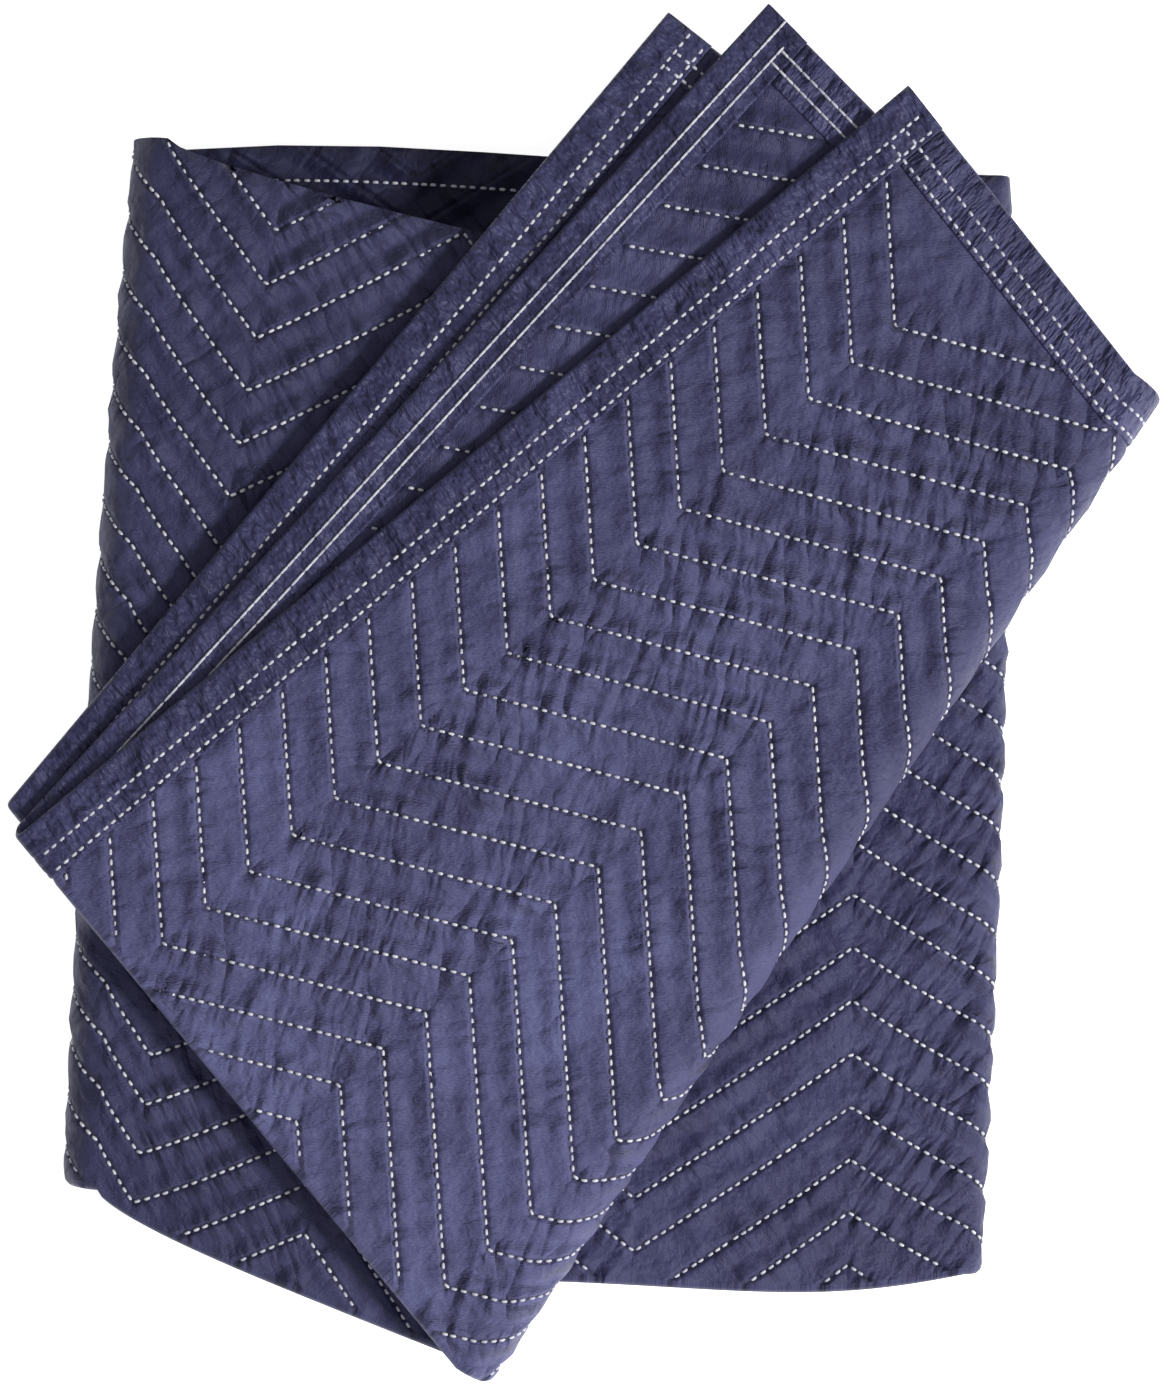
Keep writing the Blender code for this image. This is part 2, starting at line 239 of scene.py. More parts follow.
def fromEnd(stage, step, share, across):
    # Metres from the pass's bound end
    first, last = passLines(stage, share, across, 0 * across)
    return np.linalg.norm(last - first, axis=1) * (1 - step if boundEnds[stage] else step)


def stepAt(stage, metres, share, across):
    # The step at this many metres from the pass's bound end
    first, last = passLines(stage, share, across, 0 * across)
    step = metres / np.linalg.norm(last - first, axis=1)
    return 1 - step if boundEnds[stage] else step


def stationStep(stage, metres, rest, share, across):
    # rest alone, or metres from the bound end and then rest, a share of what is left of the pass
    if metres is None:
        return rest + 0 * share
    step = stepAt(stage, metres, share, across)
    if rest is None:
        return step
    return step * (1 - rest) if boundEnds[stage] else step + rest * (1 - step)


def pressed(stage, step, share, across):
    # 1 under a binding, falling to 0 just inside it
    found = np.zeros(len(step))
    if stage in boundSides:
        found = np.maximum(found, smooth((pressSet["width"] - (1 - across) * stripWidth) / pressSet["fade"]))
    if stage in boundEnds:
        fromIt = fromEnd(stage, step, share, across)
        found = np.maximum(found, smooth((pressSet["width"] - fromIt) / pressSet["fade"]))
    return found


def puff(count):
    # Height of a quilted face: a low crest between two sewn lines and a sharp valley on each
    return quilt["crest"] - quilt["groove"] * (1 - np.abs(np.sin(np.pi * count))) ** quilt["sharpness"]


rippleWaves = [(rng.uniform(rippleSet["shortest"], rippleSet["longest"]), rng.uniform(0, np.pi),
                rng.uniform(0, fullTurn)) for _ in range(rippleSet["waves"])]


def ripple(along, over):
    # Soft unevenness of a padded face: sine waves of different lengths in different directions, added up
    waves = [np.sin(fullTurn * (along * np.cos(a) + over * np.sin(a)) / w + p) for w, a, p in rippleWaves]
    return np.sum(waves, axis=0) * rippleSet["height"]


def quiltedHeight(stage, step, across, signed, count):
    # Height of the sewn face over the sheet's plain one: its quilting and its unevenness
    return puff(count) + ripple(passReach(stage, step, across, signed), signed * stripWidth)


def halfThick(press, raised):
    # Half the sheet's thickness, raised by its quilting, or half the margin's under a binding
    return sheetThick / 2 + (marginThick - sheetThick) / 2 * press + (1 - press) * raised


capAngles = np.linspace(0, np.pi, 7)[1:-1]


def hairpin(columns, others):
    # Places round the doubled strip: the sewn sheet from its open edge to the doubled side, a half circle
    # round it, and out along the other sheet
    across = np.concatenate((columns[::-1], 0 * capAngles, others))
    share = np.concatenate((np.ones(len(columns)), (1 + np.cos(capAngles)) / 2, np.zeros(len(others))))
    angle = np.concatenate((np.zeros(len(columns)), capAngles, np.full(len(others), np.pi)))
    return across, share, angle


def enclosedVolume(mesh):
    # Sum over all triangles of the volume that each makes with the origin, negative where faces point inwards
    mesh.calc_loop_triangles()
    corners = np.empty(len(mesh.loop_triangles) * 3, np.int32)
    mesh.loop_triangles.foreach_get("vertices", corners)
    points = np.empty(len(mesh.vertices) * 3, np.float32)
    mesh.vertices.foreach_get("co", points)
    a, b, c = points.reshape(-1, 3).astype(float)[corners.reshape(-1, 3)].transpose(1, 0, 2)
    return np.sum(a * np.cross(b, c)) / 6


def newObject(name, points, faces, material, marks=None):
    # A smooth piece on the blanket's body, its faces pointing outwards; marks are its point attributes
    mesh = bpy.data.meshes.new(name)
    mesh.from_pydata(points, [], faces)
    if enclosedVolume(mesh) < 0:
        mesh.flip_normals()
    mesh.polygons.foreach_set("use_smooth", np.full(len(mesh.polygons), True))
    for key, values in (marks or {}).items():
        layer = mesh.attributes.new(key, "FLOAT_VECTOR", "POINT")
        layer.data.foreach_set("vector", np.asarray(values, np.float32).ravel())
    mesh.update()
    obj = bpy.data.objects.new(name, mesh)
    bpy.context.scene.collection.objects.link(obj)
    obj.data.materials.append(material)
    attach(obj, "root")
    return obj


def gridFaces(rows, columns):
    # Quads between neighbouring rows of a grid whose rows close on themselves
    first, second = np.meshgrid(np.arange(rows - 1), np.arange(columns), indexing="ij")
    after = (second + 1) % columns
    corners = (first * columns + second, first * columns + after,
               (first + 1) * columns + after, (first + 1) * columns + second)
    return np.stack(corners, axis=-1).reshape(-1, 4)


# Materials. Each helper adds nodes to the tree and gives back the last one's output
def startMaterial(name, roughness, sheen):
    material = bpy.data.materials.new(name)
    material.use_nodes = True
    tree = material.node_tree
    shader = tree.nodes["Principled BSDF"]
    shader.inputs["Roughness"].default_value = roughness
    shader.inputs["Sheen Weight"].default_value = sheen
    shader.inputs["Sheen Roughness"].default_value = 0.5
    shader.inputs["Specular IOR Level"].default_value = 0.3
    return material, tree, shader


def feed(tree, socket, value):
    # A number or colour is set on the socket, an output is linked to it
    if isinstance(value, (int, float, tuple)):
        socket.default_value = value
    else:
        tree.links.new(value, socket)


def maths(tree, operation, *values):
    node = tree.nodes.new("ShaderNodeMath")
    node.operation = operation
    for socket, value in zip(node.inputs, values):
        feed(tree, socket, value)
    return node.outputs[0]


def times(tree, value, *factors):
    for factor in factors:
        value = maths(tree, "MULTIPLY", value, factor)
    return value


def timesPlus(tree, value, factor, added):
    return maths(tree, "MULTIPLY_ADD", value, factor, added)


def oneLess(tree, value):
    # 1 less the value
    return maths(tree, "SUBTRACT", 1.0, value)


def noise(tree, vector, scale, detail=2.0, rough=0.5):
    node = tree.nodes.new("ShaderNodeTexNoise")
    node.inputs["Scale"].default_value = scale
    node.inputs["Detail"].default_value = detail
    node.inputs["Roughness"].default_value = rough
    tree.links.new(vector, node.inputs["Vector"])
    return node.outputs["Fac"]


def combine(tree, x, y, z):
    node = tree.nodes.new("ShaderNodeCombineXYZ")
    for socket, value in zip(node.inputs, (x, y, z)):
        feed(tree, socket, value)
    return node.outputs[0]


def separate(tree, vector):
    split = tree.nodes.new("ShaderNodeSeparateXYZ")
    tree.links.new(vector, split.inputs[0])
    return split.outputs


def attributeOf(tree, name):
    node = tree.nodes.new("ShaderNodeAttribute")
    node.attribute_name = name
    return node.outputs["Vector"]


def streaks(tree, x, y, z, scales, detail, rough):
    # Noise on x and y scaled apart, so that it is drawn out along the one with the smaller scale
    scaled = combine(tree, times(tree, x, scales[0]), times(tree, y, scales[1]), z)
    return noise(tree, scaled, 1.0, detail, rough)


def ramp(tree, value, low, high):
    # 0 below low, 1 above high, smooth between
    node = tree.nodes.new("ShaderNodeMapRange")
    node.interpolation_type = "SMOOTHSTEP"
    node.inputs["From Min"].default_value = low
    node.inputs["From Max"].default_value = high
    tree.links.new(value, node.inputs["Value"])
    return node.outputs["Result"]


def mixColour(tree, factor, a, b):
    # a at 0 and b at 1, and on past either
    node = tree.nodes.new("ShaderNodeMix")
    node.data_type = "RGBA"
    node.clamp_factor = False
    for socket, value in ((node.inputs["Factor"], factor), (node.inputs[6], a), (node.inputs[7], b)):
        feed(tree, socket, value)
    return node.outputs[2]


def bump(tree, height, distance, under=None):
    node = tree.nodes.new("ShaderNodeBump")
    node.inputs["Strength"].default_value = 1.0
    node.inputs["Distance"].default_value = distance
    tree.links.new(height, node.inputs["Height"])
    if under is not None:
        tree.links.new(under, node.inputs["Normal"])
    return node.outputs[0]


# Twill: noise drawn out along one diagonal, as scales, detail and roughness, and the heights between which
# a painted highlight on the raised threads comes in
weaveLook = {"threads": ((330.0, 1000.0), 2.0, 0.6), "low": 0.35, "high": 0.75}


def weaveHeight(tree, x, y):
    # Short threads along the diagonal, from the sum and the difference of x and y
    return streaks(tree, maths(tree, "ADD", x, y), maths(tree, "SUBTRACT", x, y), 0.0, *weaveLook["threads"])


def weaveHighlightColour(tree, weave, amount, colour, raised):
    # The colour, mixed towards a painted highlight on the raised threads by the weave's height
    height = ramp(tree, weave, weaveLook["low"], weaveLook["high"])
    return mixColour(tree, times(tree, height, amount), colour, raised)


# The cloth's finish. Noises are scales a metre along and across the puckers, detail and roughness; depths are
# metres; along and over are an arm's direction, as shares of the strip's two ways
clothLook = {
    "roughness": 0.5, "sheen": 0.12,
    # The line colour is painted shade, laid along the sewn lines' grooves
    "dark": (0.050, 0.049, 0.138, 1), "light": (0.096, 0.098, 0.236, 1), "line": (0.012, 0.012, 0.034, 1),
    # The threads colour is a painted highlight on the raised threads of the weave
    "threads": (0.17, 0.17, 0.30, 1), "shade": (0.0, 0.0, 0.03, 1),
    "threadHighlightShare": 0.3, "grooveShadeShare": 0.7, "grooveShadeWidth": 0.06, "softScale": 9.0,
    "along": 0.81, "over": 0.59, "bendScale": 20.0, "bend": 0.014, "patchScale": 14.0,
    "pucker": ((112.0, 27.0), 1.8, 0.45), "puckerShare": 0.7,
    "fine": ((190.0, 80.0), 1.0, 0.5), "fineShare": 0.10,
    "ridge": ((62.0, 21.0), 1.0, 0.4), "ridgeShare": 1.6,
    "creaseScale": 90.0, "creaseBend": 0.09, "creaseWidth": 0.050, "broadScale": 38.0,
    "broadDepth": 0.0070, "puckerDepth": 0.0180, "creaseDepth": -0.0013, "valleyDepth": 0.0013,
    "valleyWidth": 0.12, "weaveDepth": 0.0008,
}


def clothMaterial():
    # Everything is read from the point attributes: "quilt" holds the arms passed, the line count with what
    # the arms took off put back, and the painted light, a brightness of painted shade and sheen; "strip" holds
    # metres along and across the strip
    look = clothLook
    material, tree, shader = startMaterial("quilted_fabric", look["roughness"], look["sheen"])
    arms, offset, paintedLight = separate(tree, attributeOf(tree, "quilt"))
    x, y, _ = separate(tree, attributeOf(tree, "strip"))
    rise = maths(tree, "PINGPONG", arms, 1.0)
    count = timesPlus(tree, rise, -quilt["rise"], offset)
    toLine = maths(tree, "PINGPONG", count, 0.5)  # 0 on a sewn line, 0.5 midway
    # Which way the arm runs, -1 or 1, and from it the ways along and across its lines
    odd = maths(tree, "GREATER_THAN", maths(tree, "FRACT", times(tree, arms, 0.5)), 0.5)
    way = timesPlus(tree, odd, -2.0, 1.0)
    along = timesPlus(tree, times(tree, y, way), look["over"], times(tree, x, look["along"]))
    over = timesPlus(tree, times(tree, x, way), -look["over"], times(tree, y, look["along"]))
    bend = times(tree, noise(tree, combine(tree, x, y, 7.0), look["bendScale"]), look["bend"])
    along = maths(tree, "ADD", along, bend)
    # Puckers: ridges drawn out across the sewn lines, in patches, higher beside the lines and half as high on
    # every second arm
    near = oneLess(tree, ramp(tree, toLine, 0.02, 0.5))
    strength = timesPlus(tree, odd, -0.5, 1.0)
    patchy = ramp(tree, noise(tree, combine(tree, x, y, 0.0), look["patchScale"]), 0.3, 0.65)
    amount = times(tree, timesPlus(tree, near, 0.7, 0.3), strength, timesPlus(tree, patchy, 0.7, 0.3))
    pucker = times(tree, streaks(tree, along, over, way, *look["pucker"]), look["puckerShare"])
    pucker = timesPlus(tree, streaks(tree, along, over, way, *look["fine"]), look["fineShare"], pucker)
    ridge = maths(tree, "SUBTRACT", streaks(tree, along, over, 4.0, *look["ridge"]), 0.5)
    pucker = timesPlus(tree, maths(tree, "ABSOLUTE", ridge), look["ridgeShare"], pucker)
    pucker = times(tree, pucker, amount)
    # Creases that join the turns of neighbouring lines
    jitter = maths(tree, "SUBTRACT", noise(tree, combine(tree, x, y, 3.0), look["creaseScale"]), 0.5)
    turn = timesPlus(tree, jitter, look["creaseBend"], maths(tree, "PINGPONG", arms, 0.5))
    crease = times(tree, oneLess(tree, ramp(tree, turn, -0.01, look["creaseWidth"])), near)
    weave = weaveHeight(tree, x, y)
    low = bump(tree, noise(tree, combine(tree, x, y, 5.0), look["broadScale"], 3.0, 0.55), look["broadDepth"])
    low = bump(tree, pucker, look["puckerDepth"], low)
    low = bump(tree, crease, look["creaseDepth"], low)
    low = bump(tree, ramp(tree, toLine, 0.0, look["valleyWidth"]), look["valleyDepth"], low)
    tree.links.new(bump(tree, weave, look["weaveDepth"], low), shader.inputs["Normal"])
    soft = noise(tree, combine(tree, x, y, 0.0), look["softScale"], 3.0, 0.6)
    mixed = mixColour(tree, ramp(tree, soft, 0.3, 0.7), look["dark"], look["light"])
    # Painted highlight on the raised threads of the weave
    mixed = weaveHighlightColour(tree, weave, look["threadHighlightShare"], mixed, look["threads"])
    # Painted shade: the colour darkened in a narrow band along each sewn line, where its groove is in shadow
    edge = times(tree, oneLess(tree, ramp(tree, toLine, 0.0, look["grooveShadeWidth"])), look["grooveShadeShare"])
    mixed = mixColour(tree, edge, mixed, look["line"])
    # Painted shade and sheen: each part's colour darkened towards the shade colour by its painted brightness
    tree.links.new(mixColour(tree, paintedLight, look["shade"], mixed), shader.inputs["Base Color"])
    return material


bindingLook = {
    "roughness": 0.45, "sheen": 0.1,
    # The threads colour is a painted highlight on the raised threads of the weave
    "dark": (0.034, 0.034, 0.098, 1), "light": (0.062, 0.063, 0.160, 1), "threads": (0.12, 0.12, 0.26, 1),
    "threadHighlightShare": 0.2, "softScale": 20.0, "broadScale": 45.0, "ruffle": ((110.0, 42.0), 3.0, 0.55),
    "broadDepth": 0.0090, "ruffleDepth": 0.0100, "weaveDepth": 0.0004,
}


def bindingMaterial(name, up):
    # Ruffles drawn out across the tape, a broad unevenness and the weave, from metres along and across it; up
    # is 1, or -1 for the tape's other side, where hills and hollows change places
    look = bindingLook
    material, tree, shader = startMaterial(name, look["roughness"], look["sheen"])
    x, y, z = separate(tree, attributeOf(tree, "strip"))
    where = combine(tree, x, y, z)
    weave = weaveHeight(tree, x, y)
    low = bump(tree, noise(tree, where, look["broadScale"], 3.0, 0.55), up * look["broadDepth"])
    low = bump(tree, streaks(tree, x, y, z, *look["ruffle"]), up * look["ruffleDepth"], low)
    tree.links.new(bump(tree, weave, up * look["weaveDepth"], low), shader.inputs["Normal"])
    soft = ramp(tree, noise(tree, where, look["softScale"], 3.0), 0.3, 0.7)
    mixed = mixColour(tree, soft, look["dark"], look["light"])
    # Painted highlight on the raised threads of the weave
    mixed = weaveHighlightColour(tree, weave, look["threadHighlightShare"], mixed, look["threads"])
    tree.links.new(mixed, shader.inputs["Base Color"])
    return material


threadLook = {
    "roughness": 0.6, "sheen": 0.1, "scale": 70.0,
    "grey": (0.54, 0.54, 0.64, 1), "white": (0.78, 0.78, 0.84, 1),
}


def threadMaterial():
    # White thread, greyer in patches
    material, tree, shader = startMaterial("thread", threadLook["roughness"], threadLook["sheen"])
    where = tree.nodes.new("ShaderNodeTexCoord").outputs["Object"]
    patches = ramp(tree, noise(tree, where, threadLook["scale"]), 0.3, 0.7)
    tint = mixColour(tree, patches, threadLook["grey"], threadLook["white"])
    tree.links.new(tint, shader.inputs["Base Color"])
    return material


clothFabric = clothMaterial()
bindingFabric = bindingMaterial("binding_fabric", 1)
turnedFabric = bindingMaterial("binding_fabric_turned", -1)
thread = threadMaterial()
print("materials")

# The cloth: one closed loop of columns swept along the strip's way. sewn and inside: where columns stand
# between two sewn lines; route: rows on each part; then the painted light: painted shade and sheen as a
# brightness for each part, darkest as painted shadow in the pocket of the bottom pass, with painted shade on
# its inner skin, and on the flap a painted light falling from the doubled side; margin and endRows: columns
# and rows in the margin under a binding
clothSet = {
    "sewn": (0.0, 0.07, 0.2, 0.4, 0.6, 0.8, 0.93), "inside": (0.0, 0.1, 0.35, 0.65, 0.9), "lines": 23,
    "route": (("topFlap", 70), ("outerSlant", 14), ("secondPass", 3), ("innerFold", 5), ("rightPanel", 52),
              ("rightFold", 9), ("bottom", 8), ("leftFold", 14), ("leftPanel", 80), ("innerSlant", 5),
              ("underFlap", 6)),
    # Painted shade and sheen: the brightness painted on each part, lowest where the bottom pass lies in shadow
    # inside the pocket
    "paintedLight": {"topFlap": 1.0, "outerSlant": 0.95, "secondPass": 0.9, "innerFold": 0.9, "rightPanel": 0.64,
            "rightFold": 0.68, "bottom": 0.3, "leftFold": 0.6, "leftPanel": 0.62, "innerSlant": 0.66,
            "underFlap": 0.7},
    "innerPaintedShade": 0.72, "paintedLightFall": 0.70, "paintedLightMiddle": 0.50,
    "plain": 12, "plainEnd": 0.944, "heldFrom": 0.0004, "heldTo": 0.9435, "spread": 0.0003, "fadeIn": 0.006,
    "margin": (0.9462, 0.951, 0.968, 0.984, 0.99823), "endRows": (0.0011, 0.010, 0.020, 0.0305, 0.0325),
}


def followed(stage, way, fractions, sign):
    # Columns on the sewn lines and between them, held to the edges where a line runs out
    start = 1e-9 if sign > 0 else -clothSet["plainEnd"]
    lowest = int(np.floor(lineValue(stage, np.array(start)) - quilt["rise"]))
    number = np.array([lowest + n + f for n in range(clothSet["lines"]) for f in fractions])
    columns = solveAcross(stage, np.full(len(number), float(way)), number, sign)
    columns = np.sort(np.clip(columns, clothSet["heldFrom"], clothSet["heldTo"]))
    return columns + np.linspace(0, clothSet["spread"], len(columns))


def clothStations():
    # Places along the strip: even steps on each part of the route, and the margin's rows at a bound end
    found = []
    for stage, count in clothSet["route"]:
        rest = np.linspace(0, 1, count + 1)
        if stage not in boundEnds:
            found += [(stage, None, r) for r in rest[1:]]
            continue
        rows = [(stage, metres, None) for metres in clothSet["endRows"]]
        rows += [(stage, pressSet["width"], r) for r in rest]
        found += rows[-2::-1] if boundEnds[stage] else rows
    return found


def clothSkin(stage, metres, rest, columns, others, outer):
    # Points round the hairpin, half a sheet's thickness out from its middle, or in from it on the inner skin.
    # The outer skin's sewn sheet and the inner skin's other sheet are quilted; the inner skin and the bottom
    # pass are only sunk at the lines, never raised
    across, share, angle = hairpin(columns, others)
    step = stationStep(stage, metres, rest, share, across)
    signed = np.where(share == 1, across, np.where(share == 0, -across, 0))
    arms, count = quiltCount(stage, step, across, signed)
    quilted = (share == 1) if outer == 1 else (share == 0)
    raised = quiltedHeight(stage, step, across, signed, count) * quilted * smooth(across / clothSet["fadeIn"])
    if stage == "bottom" or outer < 0:
        raised = np.minimum(raised, 0)
    half = halfThick(pressed(stage, step, share, across), raised)
    points = place(stage, step, share, across, angle, sheetOffset + outer * half)
    # Painted shade and sheen of this part: painted shade on the inner skin, and on the flap a painted light
    # that falls from the doubled side
    paintedLight = clothSet["paintedLight"][stage] * (1.0 if outer > 0 else clothSet["innerPaintedShade"])
    if outer > 0 and stage in ("topFlap", "outerSlant"):
        paintedLight = paintedLight + clothSet["paintedLightFall"] * (clothSet["paintedLightMiddle"] - across)
    marks = np.column_stack((arms, count + quilt["rise"] * armRise(arms), paintedLight * np.ones(len(arms))))
    along = passReach(stage, step, across, signed)
    strip = np.column_stack((along, signed * stripWidth, 0 * along))
    return points, marks, strip, hairpinOrder(across, share, angle)


def clothLoop(stage, metres, rest):
    # One closed loop of columns: along the outer skin and back along the inner one
    way = 0.0 if rest is None else rest
    if metres is not None and boundEnds[stage]:
        way = 1 - way
    margin = clothSet["margin"]
    plain = np.concatenate((np.linspace(0, clothSet["plainEnd"], clothSet["plain"]), margin))
    sewn = np.concatenate(((0.0,), followed(stage, way, clothSet["sewn"], 1), margin))
    inside = np.concatenate(((0.0,), followed(stage, way, clothSet["inside"], -1), margin))
    outerSkin = clothSkin(stage, metres, rest, sewn, plain, 1)
    innerSkin = clothSkin(stage, metres, rest, plain, inside, -1)
    joined = [np.concatenate((a, b[::-1])) for a, b in zip(outerSkin[:3], innerSkin[:3])]
    return joined, outerSkin[3], innerSkin[3]


def hairpinOrder(across, share, angle):
    # How far each column is round the doubled strip, from one open edge to the other
    return np.where(share == 1, 1 - across, np.where(share == 0, 1.05 + across, 1 + 0.05 * angle / np.pi))


def endFaces(outer, outerAt, inner, innerAt):
    # Triangles between the outer and the inner edge of an end: the steps of both edges in the order of their
    # way round, each joined to the place that the other edge has reached
    onOuter = np.arange(len(outer) + len(inner) - 2) < len(outer) - 1
    onOuter = onOuter[np.argsort(np.concatenate((outerAt[1:], innerAt[1:])), kind="stable")]
    i = np.cumsum(onOuter) - onOuter
    j = np.cumsum(~onOuter) - ~onOuter
    nextOuter = outer[np.minimum(i + 1, len(outer) - 1)]
    nextInner = inner[np.minimum(j + 1, len(inner) - 1)]
    return np.column_stack((outer[i], np.where(onOuter, nextOuter, nextInner), inner[j]))


def buildCloth():
    # The stations' loops joined by quads, and each end closed between its two skins
    sections = [clothLoop(*station) for station in clothStations()]
    loop = len(sections[0][0][0])
    faces = gridFaces(len(sections), loop).tolist()
    for row in (0, len(sections) - 1):
        outerAt, innerAt = sections[row][1:]
        outer = row * loop + np.arange(len(outerAt))
        inner = row * loop + loop - 1 - np.arange(len(innerAt))
        closed = endFaces(outer, outerAt, inner, innerAt)
        faces += (closed if row else closed[:, ::-1]).tolist()
    points, quiltMarks, stripMarks = (np.concatenate([s[0][k] for s in sections]) for k in range(3))
    marks = {"quilt": quiltMarks, "strip": stripMarks}
    return newObject("blanket_cloth", points, faces, clothFabric, marks)


cloth = buildCloth()
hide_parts("quilted_cloth")
print("cloth", len(cloth.data.polygons))

# Bindings: a thin channel over the cloth's edge, puffed between its two rows of stitches. rows and
# insideRows: each row's distance from the edge, on the flap's outer and inner face; spacing: metres between a
# side's rings; otherFace: added to the metres across on the channel's lower face
bindingSet = {
    "width": 0.030, "inside": 0.0015, "wall": 0.0008, "rows": (0.0165, 0.027), "insideRows": (0.0135, 0.0220),
    "nose": 0.0022, "lip": 0.0006, "puff": 0.0005, "dip": 0.85, "dipWidth": 0.0011, "crown": 0.35,
    "swell": 0.03, "swellWaves": 420, "slowWaves": 95, "columns": 150, "spacing": 0.0035, "otherFace": 0.1,
}


def bindingProfile():
    # Distance from the edge and height of the outer skin, round from one face to the other, then the inner
    # skin: a half ellipse at the nose, and faces that are crowned with a bell-shaped dip at each row
    width, inside, wall, nose = (bindingSet[key] for key in ("width", "inside", "wall", "nose"))
    d = np.concatenate((np.linspace(nose, width - bindingSet["lip"], 26), (width,)))
    outer = inside + wall
    dips = sum(np.exp(-((d - r) / bindingSet["dipWidth"]) ** 2) for r in bindingSet["rows"])
    ends = smooth(d / 0.005) * smooth((width - d) / 0.0015)
    top = outer + bindingSet["puff"] * (bindingSet["crown"] - bindingSet["dip"] * dips) * ends
    top[-1] = inside + wall * 0.5
    turn = np.linspace(0, np.pi, 9)[1:-1]
    outerD = np.concatenate((d[::-1], nose * (1 - np.sin(turn)), d))
    outerH = np.concatenate((top[::-1], outer * np.cos(turn), -top))
    innerD = np.array((width, wall, wall, width))
    innerH = np.array((-inside, -inside, inside, inside))
    return np.concatenate((outerD, innerD)), np.concatenate((outerH, innerH))


def swollen(height, wave):
    # Heights of the outer skin made a little more and less along the tape, as the sine of the wave
    outside = np.abs(height) > bindingSet["inside"] + 0.001
    return height * (1 + bindingSet["swell"] * np.sin(wave) * outside)


def tapeObject(name, points, along, depth, height, seed, loop, fabric):
    # Rings of points joined into a channel and closed at both ends; the strip mark is metres along and across
    deep = depth + bindingSet["otherFace"] * (height < 0)
    strip = np.column_stack((along, deep, np.full(len(along), seed)))
    rings = len(points) // loop
    faces = gridFaces(rings, loop).tolist()
    faces += [list(range(loop))[::-1], list(range((rings - 1) * loop, rings * loop))]
    return newObject(name, points, faces, fabric, {"strip": strip})


def endBinding(name, stage, seed, fabric):
    # The channel carried over a bound end, round the hairpin from one open edge to the other
    profileD, profileH = bindingProfile()
    columns = np.linspace(0, 1.0, bindingSet["columns"])
    across, share, angle = hairpin(columns, columns)
    along = np.concatenate((columns[::-1], 0 * capAngles, -columns)) * stripWidth
    depth = np.tile(profileD, len(across))
    height = np.tile(profileH, len(across))
    across, share, angle, along = (np.repeat(v, len(profileD)) for v in (across, share, angle, along))
    step = stepAt(stage, depth, share, across)
    wave = along * bindingSet["swellWaves"] + np.sin(along * bindingSet["slowWaves"]) * 2 + seed
    points = place(stage, step, share, across, angle, sheetOffset + swollen(height, wave))
    return tapeObject(name, points, along, depth, height, seed, len(profileD), fabric)


def sideBinding(name, stages, sheet, seed, fabric):
    # The channel carried along one sheet's open edge
    profileD, profileH = bindingProfile()
    points = []
    rings = 0
    for stage, metres, rests in stages:
        depth = np.tile(profileD, len(rests))
        share = np.full(len(depth), float(sheet))
        across = 1 - depth / stripWidth
        step = stationStep(stage, metres, np.repeat(rests, len(profileD)), share, across)
        along = bindingSet["spacing"] * np.repeat(rings + 1 + np.arange(len(rests)), len(profileD))
        reach = sheetOffset + swollen(np.tile(profileH, len(rests)), along * bindingSet["swellWaves"] + seed)
        points.append(place(stage, step, share, across, np.pi * (1 - share), reach))
        rings += len(rests)
    along = bindingSet["spacing"] * np.repeat(1 + np.arange(rings), len(profileD))
    depth = np.tile(profileD, rings)
    height = np.tile(profileH, rings)
    return tapeObject(name, np.concatenate(points), along, depth, height, seed, len(profileD), fabric)


# Part of the strip, metres from its bound end, and the steps from there on
sideStart = 0.0303
flapSide = (("topFlap", sideStart, np.linspace(0, 1, 70)), ("outerSlant", None, np.linspace(0, 1, 16)[1:]),
            ("secondPass", None, np.array((0.1,))))
backSide = (("underFlap", sideStart, np.linspace(0, 0.985, 70)),)
bindings = [
    endBinding("front_end_tape", "topFlap", 1.0, bindingFabric),
    sideBinding("front_side_tape_upper", flapSide, 1, 2.0, turnedFabric),
    sideBinding("front_side_tape_lower", flapSide, 0, 3.0, bindingFabric),
    endBinding("back_end_tape", "underFlap", 4.0, turnedFabric),
    sideBinding("back_side_tape_upper", backSide, 0, 5.0, turnedFabric),
    sideBinding("back_side_tape_lower", backSide, 1, 6.0, bindingFabric),
]
for obj, node in zip(bindings, ("front_end_binding", "front_side_binding_upper", "front_side_binding_lower",
                                "back_end_binding", "back_side_binding_upper", "back_side_binding_lower")):
    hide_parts(node)
print("bindings")

# Stitches: short threads laid end to end along a path on a face. rings: place along a stitch and relative
# size of each ring; sink: how far its ends go into the cloth, in radii; insideLength and insideRadius: those
# of the solid rows
stitchSet = {
    "period": 0.0054, "length": 0.0034, "radius": 0.00090, "lift": 0.0008, "rowLift": 0.0002, "jitter": 0.06,
    "insideLength": 0.0060, "insideRadius": 0.00075,
    "rings": ((-0.5, 0.45), (-0.28, 1.0), (0.28, 1.0), (0.5, 0.45)), "corners": 5,
    "sink": 0.35, "flatness": 0.8,
}


